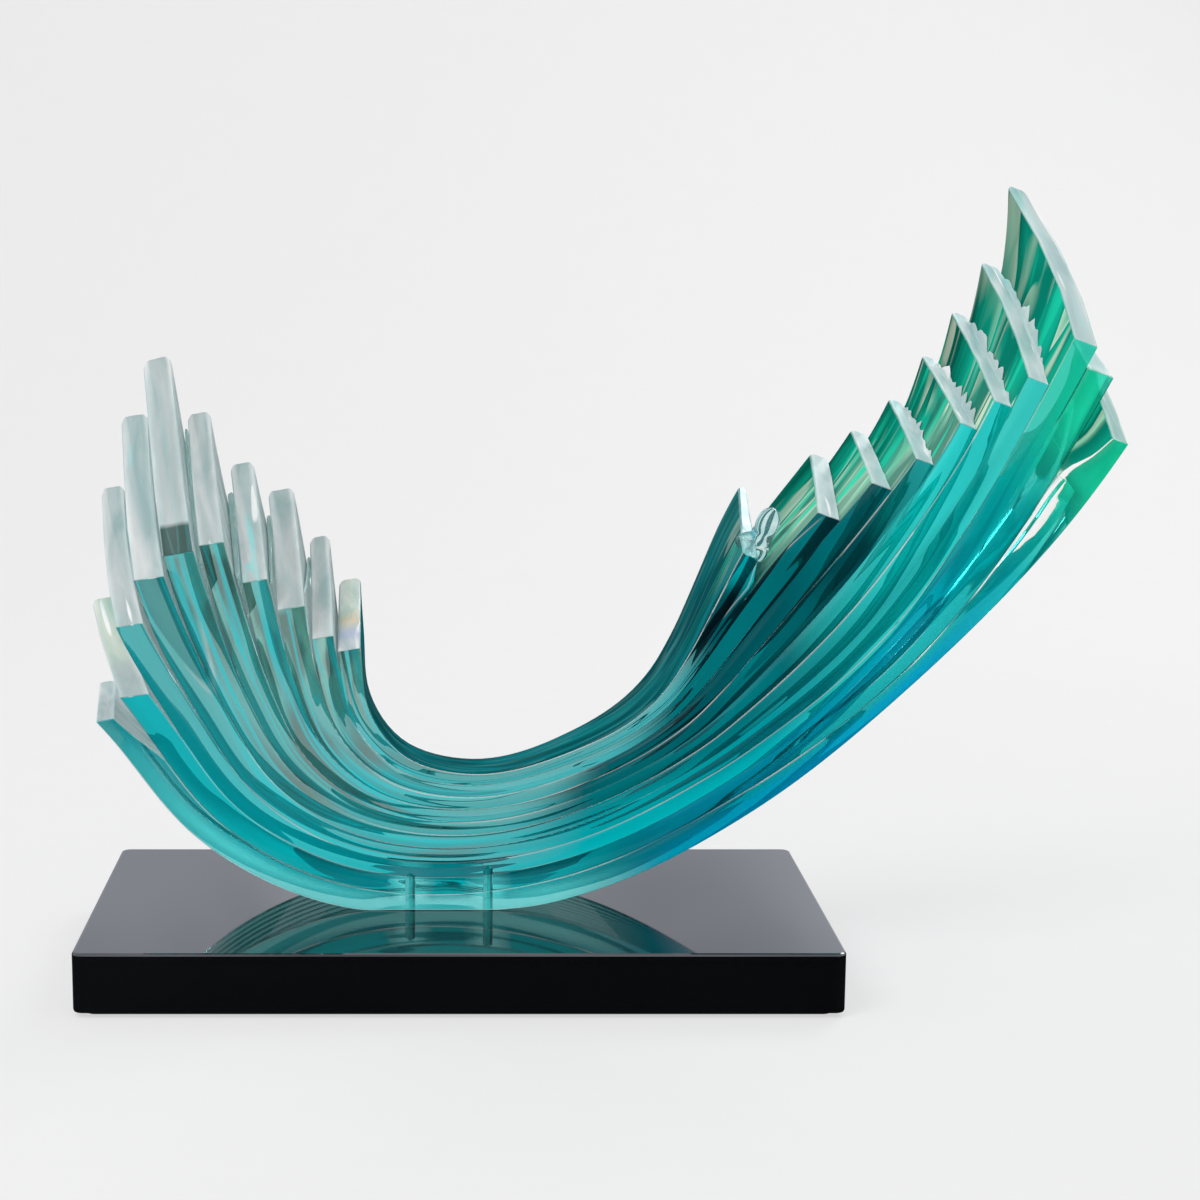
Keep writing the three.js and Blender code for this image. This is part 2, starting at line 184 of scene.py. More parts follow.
class WaveResinSettings(bpy.types.PropertyGroup):
    """Sizes and colours of the resin bars and webs."""

    front_edge: length_property("Front edge", "Radius of the long edges at the front", 0.0001)
    back_edge: length_property("Back edge", "Radius of the long edges at the back", 0.0022)
    end_bevel: length_property("End bevel", "Width of the bevel around each end face", 0.0006)
    seam_fill: length_property("Seam fill", "How far each bonded face reaches into its seam", 0.00013)
    saw_mark: length_property("Saw mark", "Unevenness of the end faces", 0.0003)
    burr: length_property("Burr", "How far the torn edges of the teeth stand out", 0.0075)
    crown: length_property("Crown", "How far the front and back faces bulge", 0.0002)
    ripple: length_property("Ripple", "Height of the ripples on the front and back faces", 0.0004)
    ripple_length: length_property("Ripple length", "Length of a ripple along a bar", 0.07)
    station_length: length_property("Station length", "Distance between the sections of a bar", 0.004)
    drip: length_property("Drip", "Size of the clear drip beside the top bar's right end", 0.0125)
    web_station: length_property("Web station", "Distance between the sections of a web", 0.0012)
    web_ripple: length_property("Web ripple", "Height of the beads in the clear webs", 0.0024)
    web_rung: length_property("Web rung", "Distance between two beads of a web", 0.0062)
    sage: colour_property("Sage", "Upper bars of the left arm and the foot", 0x3E867E)
    mist: colour_property("Mist", "Upper bars near their left tips", 0x66A898)
    turquoise: colour_property("Turquoise", "Lower bars of the left arm and the foot", 0x00929A)
    lagoon: colour_property("Lagoon", "Lower bars of the right arm", 0x00848E)
    deep_teal: colour_property("Deep teal", "Upper bars of the right arm", 0x00191F)
    sea: colour_property("Sea", "Bars near their right tips", 0x04B4AE)
    green: colour_property("Green", "Right tips of the low bars", 0x20DAB0)
    pine: colour_property("Pine", "Inner faces near the right tips", 0x12AC90)
    blue: colour_property("Blue", "Lower edge of the lowest bar on the right", 0x0096C6)
    aqua: colour_property("Aqua", "Pale lower edge at the foot", 0x66F2F2)
    cream: colour_property("Cream", "Bright streaks on the inner faces", 0xECF4DC)
    umber: colour_property("Umber", "Seams of the left arm and the foot", 0x4A4440)
    olive: colour_property("Olive", "Dark patches in the left arm", 0x3A544E)
    rim: colour_property("Rim", "Light caught in the long front edges", 0xF2F0EC)
    frost: colour_property("Frost", "Frosted end faces", 0xD8DCDC)
    clear: colour_property("Clear", "Clear webs and drip", 0xDCF2F0)
    peach: colour_property("Peach", "Warm sheen on the top bar's left end", 0xF2D2A8)
    lavender: colour_property("Lavender", "Cool sheen on the top bar's left end", 0xB8BCE6)


class WavePlinthSettings(bpy.types.PropertyGroup):
    """Finish of the plinth, its felt and the fixings."""

    black: colour_property("Black", "Lacquer of the plinth", 0x0A0B0D)
    felt: colour_property("Felt", "Felt under the plinth", 0x1B1C20)
    steel: colour_property("Steel", "Washers, nuts and the lit flank of the studs", 0xEEF2F2)
    # The studs' colours are painted light and shade: steel on the lit flank, the stud body between, the
    # stud shade on the shaded flank
    stud_body: colour_property("Stud body", "Resin film on the studs", 0x50E2E2)
    stud_shade: colour_property("Stud shade", "Resin film on the shaded flank of the studs", 0x063A44)


class WaveStageSettings(bpy.types.PropertyGroup):
    """Backdrop and camera."""

    backdrop: colour_property("Backdrop", "Floor and background", 0xEEEEEE)
    camera_x: length_property("Camera X", "Camera, to the right", -0.0092)
    camera_y: length_property("Camera Y", "Camera, away from the viewer", -0.9185)
    camera_height: length_property("Camera height", "Camera above the plinth's top", 0.2779)
    camera_tilt: FloatProperty(name="Camera tilt", description="How far the camera looks down",
                               default=math.radians(9.392), subtype="ANGLE")
    focal_pixels: FloatProperty(name="Focal length", description="Focal length in pixels of the image",
                                default=2275.8, subtype="PIXEL")
    axis_pixel: FloatProperty(name="Axis pixel", description="Image column that the camera looks along",
                              default=435.2, subtype="PIXEL")


def walk_rim(bm, level):
    """Points of the closed rim that a piece's mesh has at one depth, in order."""
    near = {}
    for edge in bm.edges:
        if all(abs(vert.co.y - level) < ROW_TOLERANCE for vert in edge.verts):
            a, b = edge.verts
            near.setdefault(a, []).append(b)
            near.setdefault(b, []).append(a)
    loose = [vert for vert, others in near.items() if len(others) == 1]
    if len(loose) == 2:
        near[loose[0]].append(loose[1])
        near[loose[1]].append(loose[0])
    rim = [next(iter(near))]
    came_from = None
    while len(rim) < len(near):
        step = next(vert for vert in near[rim[-1]] if vert is not came_from)
        came_from = rim[-1]
        rim.append(step)
    return np.array([vert.co for vert in rim])


def split_rim(rim):
    """The outer and the inner run of a rim, each from its left end to its right end."""
    back = rim - np.roll(rim, 1, axis=0)
    ahead = np.roll(rim, -1, axis=0) - rim
    cosine = (back * ahead).sum(1) / (np.linalg.norm(back, axis=1) * np.linalg.norm(ahead, axis=1))
    corners = sorted(np.argsort(cosine)[:4])
    runs = []
    for first, last in zip(corners, corners[1:] + [corners[0] + len(rim)]):
        if last - first > 1:
            run = rim[np.arange(first, last + 1) % len(rim)]
            runs.append(run if run[0, 0] < run[-1, 0] else run[::-1])
    if len(runs) != 2:
        raise RuntimeError("a rim needs two long runs between its ends")
    runs.sort(key=lambda run: run[:, 2].min())
    return runs


def nearest_place(run, point):
    """The point of a run that is nearest to another, its share of its step, and the step's number."""
    starts, steps = run[:-1], np.diff(run, axis=0)
    shares = np.clip(((point - starts) * steps).sum(1) / (steps * steps).sum(1), 0, 1)
    feet = starts + shares[:, None] * steps
    step = np.argmin(np.linalg.norm(feet - point, axis=1))
    return feet[step], shares[step], step


def nearest_points(guide, run):
    """Points of a run that lie nearest to those of a guide."""
    return np.array([nearest_place(run, point)[0] for point in guide])


def matched_run(guide, run):
    """A run with a point for each of a guide's, and with both its ends kept."""
    if len(run) == len(guide):
        return run
    found = nearest_points(guide, run)
    found[0], found[-1] = run[0], run[-1]
    return found


def depth_rows(node):
    """Depths of a piece's inner rows, and its outer and inner runs there as [row, station, xyz]."""
    bm = bmesh.new()
    bm.from_mesh(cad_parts[node].data)
    bmesh.ops.remove_doubles(bm, verts=bm.verts, dist=MERGE_DISTANCE)
    depths = [round(vert.co.y, ROW_DIGITS) for vert in bm.verts]
    levels = sorted(level for level in set(depths) if depths.count(level) >= LEAST_ROW_POINTS)[1:-1]
    pairs = [split_rim(walk_rim(bm, level)) for level in levels]
    bm.free()
    outer = [matched_run(inner_run, outer_run) for outer_run, inner_run in pairs]
    return np.array(levels), np.array(outer), np.array([pair[1] for pair in pairs])


def hermite(runs, knots, wanted):
    """Smooth curves through runs of points, given at knots and read at other places."""
    gaps = np.diff(knots)
    slopes = np.diff(runs, axis=1) / gaps[None, :, None]
    before, after = gaps[:-1, None], gaps[1:, None]
    middle = (slopes[:, :-1] * after + slopes[:, 1:] * before) / (before + after)
    tangents = np.concatenate([slopes[:, :1], middle, slopes[:, -1:]], axis=1)
    place = np.clip(np.searchsorted(knots, wanted, side="right") - 1, 0, len(gaps) - 1)
    gap = gaps[place][:, None]
    share = ((wanted - knots[place]) / gaps[place])[:, None]
    p0, p1 = runs[:, place], runs[:, place + 1]
    m0, m1 = tangents[:, place] * gap, tangents[:, place + 1] * gap
    turn = share * share * (3 - 2 * share)
    return p0 + (p1 - p0) * turn + m0 * share * (1 - share) ** 2 + m1 * share * share * (share - 1)


def section_side(front, back, depth):
    """One long side of a rounded section, from the front face to the back face.

    Each point is its depth behind the front face and its distance in from the side's flat.
    """
    turns = [math.pi / 2 * i / ARC_STEPS for i in range(ARC_STEPS + 1)]
    points = [(front * (1 - math.sin(t)), front * (1 - math.cos(t))) for t in reversed(turns)]
    points += [(d, 0.0) for d in np.linspace(front, depth - back, DEPTH_STEPS + 1)[1:-1]]
    points += [(depth - back * (1 - math.sin(t)), back * (1 - math.cos(t))) for t in turns]
    return np.array(points)


class Loft:
    """Rounded sections along one bar or web, read from its solid."""

    def __init__(self, node, station_length, front_edge, back_edge):
        levels, outer, inner = depth_rows(node)
        low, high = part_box(node)
        self.front = low[1]
        self.depth = high[1] - low[1]
        spacing = np.linalg.norm(np.diff((outer + inner).mean(0) / 2, axis=0), axis=1)
        travelled = np.concatenate([[0], np.cumsum(spacing)])
        count = max(LEAST_STATIONS, int(round(travelled[-1] / station_length)))
        self.along = np.linspace(0, travelled[-1], count + 1)
        self.side = section_side(front_edge, back_edge, self.depth)
        self.last = len(self.side) - 1
        weights = self.row_weights(levels)
        self.outer = np.einsum("pr,rkx->kpx", weights, hermite(outer, travelled, self.along))
        inner = np.einsum("pr,rkx->kpx", weights, hermite(inner, travelled, self.along))
        self.thick = np.linalg.norm(inner - self.outer, axis=2)
        self.inward = (inner - self.outer) / self.thick[:, :, None]
        ring = [(p, 0) for p in range(self.last + 1)]
        ring += [(self.last, q) for q in range(1, RUNGS)]
        ring += [(p, RUNGS) for p in range(self.last, -1, -1)]
        ring += [(0, q) for q in range(RUNGS - 1, 0, -1)]
        self.ring = np.array(ring)
        self.kinds = [self.face_kind(a, b) for a, b in zip(ring, ring[1:] + ring[:1])]
        self.bonded = {}
        self.shared = self.along
        self.floor = 0.0
        self.between = set()
        self.frosted_until = 0

    @staticmethod
    def face_kind(a, b):
        """Finish of the faces between two neighbouring places of the ring."""
        if a[1] != b[1]:
            return SIDE
        if min(a[0], b[0]) < ARC_STEPS:
            return RIM
        return INNER if a[1] == RUNGS else OUTER

    def run(self, kind, p):
        """Points along the inner or outer face at one place of its depth."""
        run = self.outer[:, p]
        if kind == INNER:
            run = run + self.inward[:, p] * self.thick[:, p, None]
        return run

    def facing(self, p):
        """-1 for places of the front face, 1 for those of the back face and 0 between them."""
        return np.where(p == 0, -1.0, np.where(p == self.last, 1.0, 0.0))

    def bond(self, kind, other):
        """Marks the stations whose inner or outer face is bonded to another bar over its whole depth."""
        facing = OUTER if kind == INNER else INNER
        self.between.add(kind)
        self.bonded[kind] = np.ones(len(self.along), dtype=bool)
        for p in (ARC_STEPS, self.last // 2, self.last - ARC_STEPS):
            run = self.run(kind, p)
            gaps = np.linalg.norm(nearest_points(run, other.run(facing, p)) - run, axis=1)
            self.bonded[kind] &= gaps < BOND_REACH

    def skin_kind(self, k, j):
        """Finish of the face between two stations and two places of the ring."""
        kind = self.kinds[j]
        if kind in self.bonded and self.bonded[kind][k] and self.bonded[kind][k + 1]:
            return BOND
        if kind in self.between and k < self.frosted_until:
            return LOOSE
        return kind

    def share_grain(self, guide, floor):
        """Takes the grain's length from a guiding loft, and its place across from a floor."""
        middle = len(self.side) // 2
        run = guide.run(INNER, middle)
        station = guide.along[1] - guide.along[0]
        ends = {(0, 0): -1, (len(run) - 2, 1): 1}
        self.shared = np.empty(len(self.along))
        for k, point in enumerate(self.run(INNER, middle)):
            foot, share, step = nearest_place(run, point)
            beyond = np.linalg.norm(foot - point) * ends.get((step, share), 0)
            self.shared[k] = guide.along[step] + share * station + beyond
        self.floor = floor

    def row_weights(self, levels):
        """Share of each measured row in each point of the side, straight on past the end rows."""
        weights = np.zeros((len(self.side), len(levels)))
        for p, (depth, _) in enumerate(self.side):
            y = self.front + depth
            row = int(np.clip(np.searchsorted(levels, y) - 1, 0, len(levels) - 2))
            share = (y - levels[row]) / (levels[row + 1] - levels[row])
            weights[p, row] = 1 - share
            weights[p, row + 1] = share
        return weights

    def place(self, stations, p, q, shrink=0.0, lift=None):
        """Points at stations for places (p along the depth, q across), drawn in by shrink.

        lift(stations, p, q) gives distances to move the outer and inner faces, and the front and back.
        """
        thick = self.thick[stations][:, p]
        inset = self.side[p, 1]
        across = inset + (thick - 2 * inset) * ACROSS[q]
        across = thick / 2 + (across - thick / 2) * (1 - 2 * shrink / thick)
        depth = np.broadcast_to(self.side[p, 0], across.shape)
        depth = self.depth / 2 + (depth - self.depth / 2) * (1 - 2 * shrink / self.depth)
        points = self.outer[stations][:, p] + self.inward[stations][:, p] * across[:, :, None]
        points[:, :, 1] = self.front + depth
        if lift is not None:
            sideways, outward = lift(stations, p, q)
            points += self.inward[stations][:, p] * sideways[:, :, None]
            points[:, :, 1] += outward
        return points


def build_skin(name, loft, bevel, lift, cap_lift=None):
    """A closed mesh over a loft, with a material slot for each kind of face."""
    count, around = len(loft.along), len(loft.ring)
    rings = loft.place(np.arange(count), *loft.ring.T, lift=lift)
    pull = min(MOST_PULL, bevel / (loft.along[1] - loft.along[0]))
    for end, inside in ((0, 1), (count - 1, count - 2)):
        rings[end] = rings[end] * (1 - pull) + rings[inside] * pull
    points = [rings.reshape(-1, 3)]
    faces = []
    kinds = []
    for k in range(count - 1):
        for j in range(around):
            a, b = k * around + j, k * around + (j + 1) % around
            faces.append((a, b, b + around, a + around))
            kinds.append(loft.skin_kind(k, j))
    rows, columns = len(loft.side), RUNGS + 1
    grid_p, grid_q = [axis.ravel() for axis in np.meshgrid(range(rows), range(columns), indexing="ij")]
    total = count * around
    for end, first in ((0, 0), (count - 1, (count - 1) * around)):
        cap = loft.place(np.array([end]), grid_p, grid_q, shrink=bevel, lift=lift)[0]
        points.append(cap_lift(cap, grid_p, grid_q, end) if cap_lift else cap)
        cap_ring = [total + p * columns + q for p, q in loft.ring]
        quads = [(first + j, first + (j + 1) % around, cap_ring[(j + 1) % around], cap_ring[j])
                 for j in range(around)]
        for p in range(rows - 1):
            for q in range(columns - 1):
                a = total + p * columns + q
                quads.append((a, a + 1, a + columns + 1, a + columns))
        faces += quads
        kinds += [END] * len(quads)
        total += rows * columns
    mesh = bpy.data.meshes.new(name)
    mesh.from_pydata(np.concatenate(points).tolist(), [], faces)
    mesh.polygons.foreach_set("material_index", kinds)
    bm = bmesh.new()
    bm.from_mesh(mesh)
    bmesh.ops.recalc_face_normals(bm, faces=bm.faces)
    bm.to_mesh(mesh)
    bm.free()
    mesh.validate()
    mesh.shade_smooth()
    mesh.set_sharp_from_angle(angle=SHARP_ANGLE)
    add_grain(mesh, loft)
    return mesh


def add_grain(mesh, loft):
    """Texture places on a skin: metres along the stack, and metres up the stack and into its depth."""
    thick = float(loft.thick.mean())
    ring_p, ring_q = loft.ring.T
    kept = OUTER_GRAIN + (1 - OUTER_GRAIN) * ACROSS[ring_q]
    ring_v = loft.floor + ACROSS[ring_q] * thick + loft.side[ring_p, 0] * kept
    depth = np.repeat(loft.side[:, 0], RUNGS + 1) + loft.floor
    across = np.tile(ACROSS * thick, len(loft.side)) + loft.floor
    u = np.concatenate([np.repeat(loft.shared, len(ring_v)), depth, depth + loft.depth])
    v = np.concatenate([np.tile(ring_v, len(loft.along)), across, across])
    layer = mesh.uv_layers.new(name="grain")
    corners = np.zeros(len(mesh.loops), dtype=np.int32)
    mesh.loops.foreach_get("vertex_index", corners)
    layer.data.foreach_set("uv", np.stack([u[corners], v[corners]], axis=1).astype(np.float32).ravel())


def add_tint(mesh, colours):
    """A colour for each point of a mesh, with the share of its streaks as the fourth value."""
    layer = mesh.color_attributes.new(name="tint", type="FLOAT_COLOR", domain="POINT")
    layer.data.foreach_set("color", np.asarray(colours, dtype=np.float32).ravel())


def add_clear_tint(mesh, settings):
    """The colour of clear resin for each point of a mesh."""
    add_tint(mesh, np.tile(np.append(settings.clear, 1.0), (len(mesh.vertices), 1)))


def add_share(mesh, name, values):
    """A share for each point of a mesh, such as how clear the resin is there."""
    layer = mesh.attributes.new(name=name, type="FLOAT", domain="POINT")
    layer.data.foreach_set("value", np.asarray(values, dtype=np.float32))


def part_seams(mesh, seam_kinds):
    """Moves the faces that lie between two bars into a mesh of their own."""
    seams = mesh.copy()
    for target, gone_when in ((mesh, True), (seams, False)):
        bm = bmesh.new()
        bm.from_mesh(target)
        gone = [face for face in bm.faces if (face.material_index in seam_kinds) == gone_when]
        bmesh.ops.delete(bm, geom=gone, context="FACES")
        bm.to_mesh(target)
        bm.free()
    return seams


def put(name, data):
    """Adds an object to the scene."""
    thing = bpy.data.objects.new(name, data)
    bpy.context.scene.collection.objects.link(thing)
    return thing


def new_piece(name, mesh, materials, node=None):
    """Puts a mesh into the scene on the sculpture's body, in place of a CAD node where one is named."""
    for material in materials:
        mesh.materials.append(material)
    piece = put(name, mesh)
    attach(piece, BODY)
    if node:
        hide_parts(node)
    return piece


class Recipe:
    """Node tree of a material or of the world, with short calls to add and join nodes."""

    def __init__(self, name, kind="Material"):
        store = bpy.data.materials if kind == "Material" else bpy.data.worlds
        self.block = store.new(name)
        self.block.use_nodes = True
        self.tree = self.block.node_tree
        self.tree.nodes.clear()
        self.output = self.tree.nodes.new("ShaderNodeOutput" + kind)

    def add(self, kind, inputs=None, **settings):
        """A node with its settings, its inputs joined to sockets or set to numbers and colours."""
        node = self.tree.nodes.new("ShaderNode" + kind)
        for key, value in settings.items():
            setattr(node, key, value)
        for key, value in (inputs or {}).items():
            socket = node.inputs[key]
            if isinstance(value, bpy.types.NodeSocket):
                self.tree.links.new(value, socket)
            else:
                socket.default_value = (*value, 1) if socket.type == "RGBA" else value
        return node

    def point_value(self, name, output="Fac"):
        """A value that each point of the mesh carries."""
        return self.add("Attribute", attribute_name=name).outputs[output]

    def grain_noise(self, scale, detail=1.0, distortion=0.0):
        """Noise with a number of waves in a metre along the grain and across it."""
        place = self.add("UVMap", uv_map="grain").outputs["UV"]
        mapped = self.add("Mapping", {"Vector": place, "Scale": (*scale, 1)}).outputs["Vector"]
        return self.add("TexNoise", {"Vector": mapped, "Scale": 1.0, "Detail": detail,
                                     "Distortion": distortion}).outputs["Fac"]

    def solid_noise(self, scale, detail):
        """Noise in the object's own space."""
        place = self.add("TexCoord").outputs["Object"]
        return self.add("TexNoise", {"Vector": place, "Scale": scale, "Detail": detail}).outputs["Fac"]

    def ramp(self, value, *stops):
        """A curve of grey or coloured stops read at a value."""
        node = self.add("ValToRGB", {"Fac": value})
        elements = node.color_ramp.elements
        while len(elements) < len(stops):
            elements.new(0.5)
        for element, (position, colour) in zip(elements, stops):
            element.position = position
            element.color = (*([colour] * 3 if isinstance(colour, float) else colour), 1)
        return node.outputs["Color"]

    def rise(self, value, low, high):
        """A share that grows from 0 to 1 between two levels of a value."""
        return self.ramp(value, (low, 0.0), (high, 1.0))

    def spanned(self, value, low, high, least, most):
        """A value's span from low to high drawn over another from least to most."""
        node = self.add("MapRange", {"Value": value, "From Min": low, "From Max": high,
                                     "To Min": least, "To Max": most})
        return node.outputs["Result"]

    def math(self, operation, a, b):
        """Two values joined by an operation."""
        return self.add("Math", {0: a, 1: b}, operation=operation).outputs[0]

    def times(self, a, b):
        """Product of two shares."""
        return self.math("MULTIPLY", a, b)

    def unless(self, share):
        """What a share leaves of 1."""
        return self.math("SUBTRACT", 1.0, share)

    def mix(self, share, a, b, blend_type="MIX"):
        """Two colours blended by a share."""
        node = self.add("Mix", {0: share, 6: a, 7: b}, data_type="RGBA", blend_type=blend_type)
        return node.outputs[2]

    def lay(self, colour, over, *shares):
        """A colour with another laid over it by the product of some shares."""
        share = shares[0]
        for other in shares[1:]:
            share = self.times(share, other)
        return self.mix(share, colour, over)

    def tinted(self, colour, factor):
        """A colour times another."""
        return self.mix(1.0, colour, factor, "MULTIPLY")

    def mix_shader(self, share, a, b):
        """Two shaders blended by a share."""
        return self.add("MixShader", {0: share, 1: a, 2: b}).outputs[0]

    def bump(self, height, strength, distance):
        """Fine relief for a shader."""
        node = self.add("Bump", {"Height": height, "Strength": strength, "Distance": distance})
        return node.outputs["Normal"]

    def surface(self, shader):
        """Joins a shader to the output."""
        self.tree.links.new(shader, self.output.inputs["Surface"])
        return self.block

    def finish(self, **inputs):
        """Joins one main shader to the output."""
        inputs = {key.replace("_", " "): value for key, value in inputs.items()}
        return self.surface(self.add("BsdfPrincipled", inputs).outputs["BSDF"])


def contour_masks(recipe, scale, bands):
    """Shares of dark, bright and thin light along the contours of a stretched noise."""
    steps = recipe.times(recipe.grain_noise(scale, 1.0, 0.5), bands)
    place = recipe.add("Math", {0: steps}, operation="FRACT").outputs[0]
    dark = recipe.ramp(place, (0.0, 1.0), (0.4, 0.0))
    bright = recipe.ramp(place, (0.55, 0.0), (0.96, 1.0), (1.0, 0.0))
    line = recipe.ramp(place, (0.945, 0.0), (0.97, 1.0), (0.995, 0.0))
    return dark, bright, line


def resin_material(settings):
    """Polished coloured resin with soft liquid bands along the stack."""
    recipe = Recipe("polished_resin")
    tint, patches = recipe.point_value("tint", "Color"), recipe.point_value("tint", "Alpha")
    dark, bright, line = contour_masks(recipe, (3, 42), 3.5)
    deep, lit = recipe.tinted(tint, (0.2, 0.36, 0.4)), recipe.tinted(tint, (1.9, 1.5, 1.5))
    colour = recipe.lay(tint, deep, dark, recipe.point_value("shade"))
    colour = recipe.lay(colour, lit, bright, 0.6)
    cloud = recipe.rise(recipe.grain_noise((11, 60), 1.0, 0.4), 0.54, 0.64)
    colour = recipe.lay(colour, settings.olive, cloud, patches)
    vein = recipe.ramp(recipe.grain_noise((2.5, 190), 1.0, 0.3), (0.45, 0.0), (0.5, 1.0), (0.55, 0.0))
    colour = recipe.lay(colour, scaled(settings.turquoise, 1.6), vein, patches)
    shine = recipe.ramp(recipe.grain_noise((9, 30)), (0.54, 0.0), (0.66, 0.5))
    colour = recipe.lay(colour, settings.rim, line, shine)
    torn = recipe.times(recipe.grain_noise((34, 330), 2.0, 0.6), 0.5)
    flare = recipe.math("ADD", torn, recipe.point_value("glare"))
    broken = recipe.rise(recipe.grain_noise((16, 420), 2.0, 0.5), 0.4, 0.46)
    caught = recipe.times(recipe.rise(flare, 0.7, 0.74), broken)
    warm_white = recipe.mix(recipe.rise(flare, 0.74, 0.95), settings.cream, (1.0, 1.0, 1.0))
    colour = recipe.lay(colour, warm_white, caught)
    clear = recipe.times(recipe.point_value("clearness"), recipe.unless(caught))
    return recipe.finish(Base_Color=colour, Roughness=0.0, IOR=1.4, Transmission_Weight=clear)


def bond_material():
    """Bonded faces between the bars: no change of direction, a little colour."""
    recipe = Recipe("resin_bond")
    cloud = recipe.rise(recipe.grain_noise((6, 90), 2.0, 0.4), 0.35, 0.65)
    colour = recipe.mix(cloud, (0.75, 0.93, 0.93), (1.0, 1.0, 1.0))
    return recipe.finish(Base_Color=colour, Roughness=0.0, IOR=1.0, Transmission_Weight=1.0)


def rim_material(settings):
    """Polished long edges that catch the light here and there."""
    recipe = Recipe("resin_rim")
    glint = recipe.rise(recipe.grain_noise((10, 20), 2.0), 0.3, 0.46)
    light = recipe.times(glint, recipe.point_value("tint", "Alpha"))
    colour = recipe.lay(recipe.point_value("tint", "Color"), settings.rim, light)
    clear = recipe.times(recipe.unless(light), 0.85)
    return recipe.finish(Base_Color=colour, Roughness=0.02, IOR=1.25, Transmission_Weight=clear)


def inner_material(settings):
    """Polished inner faces with bright streaks along the bars."""
    recipe = Recipe("resin_inner_face")
    tint, streaks = recipe.point_value("tint", "Color"), recipe.point_value("tint", "Alpha")
    dark, bright, line = contour_masks(recipe, (9, 95), 4.0)
    deep = recipe.tinted(tint, (0.22, 0.4, 0.42))
    shade = recipe.ramp(recipe.grain_noise((13, 70), 2.0, 0.8), (0.42, 1.0), (0.58, 0.0))
    colour = recipe.lay(tint, deep, shade, 0.85)
    colour = recipe.lay(colour, deep, dark, 0.5)
    vivid = recipe.rise(recipe.grain_noise((9, 140), 2.0, 0.6), 0.55, 0.63)
    colour = recipe.lay(colour, settings.green, vivid, streaks)
    patch = recipe.rise(recipe.grain_noise((17, 50), 2.0, 0.8), 0.44, 0.56)
    gleam = recipe.math("MAXIMUM", bright, line)
    colour = recipe.lay(colour, settings.cream, gleam, patch, streaks)
    return recipe.finish(Base_Color=colour, Roughness=0.05, IOR=1.46, Specular_IOR_Level=0.0)


def frost_material(settings):
    """Frosted sawn resin on the end faces."""
    recipe = Recipe("frosted_resin")
    tint, veined = recipe.point_value("tint", "Color"), recipe.point_value("tint", "Alpha")
    cloud = recipe.rise(recipe.grain_noise((45, 120), 3.0, 0.8), 0.32, 0.68)
    colour = recipe.mix(cloud, recipe.tinted(tint, (0.6, 0.74, 0.75)), tint)
    vein = recipe.ramp(recipe.grain_noise((14, 160), 1.0, 0.5), (0.57, 0.0), (0.6, 1.0), (0.63, 0.0))
    colour = recipe.lay(colour, settings.aqua, vein, veined)
    glint = recipe.rise(recipe.grain_noise((30, 260), 1.0, 0.3), 0.66, 0.7)
    colour = recipe.lay(colour, (1.0, 1.0, 1.0), glint)
    return recipe.finish(Base_Color=colour, Roughness=0.42, IOR=1.25, Transmission_Weight=0.25,
                         Normal=recipe.bump(recipe.grain_noise((400, 900), 3.0), 0.25, 0.0005))


def clear_material(name, clearness, bending):
    """Clear poured resin."""
    recipe = Recipe(name)
    tint = recipe.point_value("tint", "Color")
    cloud = recipe.rise(recipe.grain_noise((120, 300), 2.0), 0.35, 0.65)
    colour = recipe.mix(cloud, recipe.tinted(tint, (0.7, 0.86, 0.86)), tint)
    return recipe.finish(Base_Color=colour, Roughness=0.04, IOR=bending, Transmission_Weight=clearness)


def inner_colours(settings, bar, across, share, depth, wander):
    """Colours of a bar's inner face, and the share of its streaks."""
    deep_teal, turquoise, lagoon, sage, pine, cream, rim = hues(
        settings, "deep_teal", "turquoise", "lagoon", "sage", "pine", "cream", "rim")
    if bar == TOP_BAR:
        tip = smooth(0.85, 1.0, share)
        return blend(blend(deep_teal, lagoon, 0.7), sage, 0.15 + 0.4 * tip), 0.05 + 0.2 * tip
    teeth = smooth(0.62, 0.7, across)
    # Painted light and shade on the teeth's inner faces: cream near the front edge, darker further back
    # in the gaps between the teeth
    front_light = 1 - smooth(0.1, 0.55, depth + 0.3 * wander)
    inside = blend(blend(deep_teal, turquoise, 0.7), pine, teeth)
    inside = inside * (1 - 0.5 * teeth * smooth(0.5, 0.8, depth + 0.3 * wander))[:, :, None]
    inside = blend(inside, cream, 0.4 * teeth * front_light * (1 - smooth(0.8, 0.9, across)))
    # Painted highlight: white glare on the lowest bar's inner face near its right tip
    if bar == 1:
        inside = blend(inside, rim, smooth(0.78, 0.84, share) * (1 - smooth(0.93, 0.96, share)))
    return inside, teeth * (0.5 + 0.5 * front_light) * (1 - 0.4 * smooth(0.82, 0.9, across))


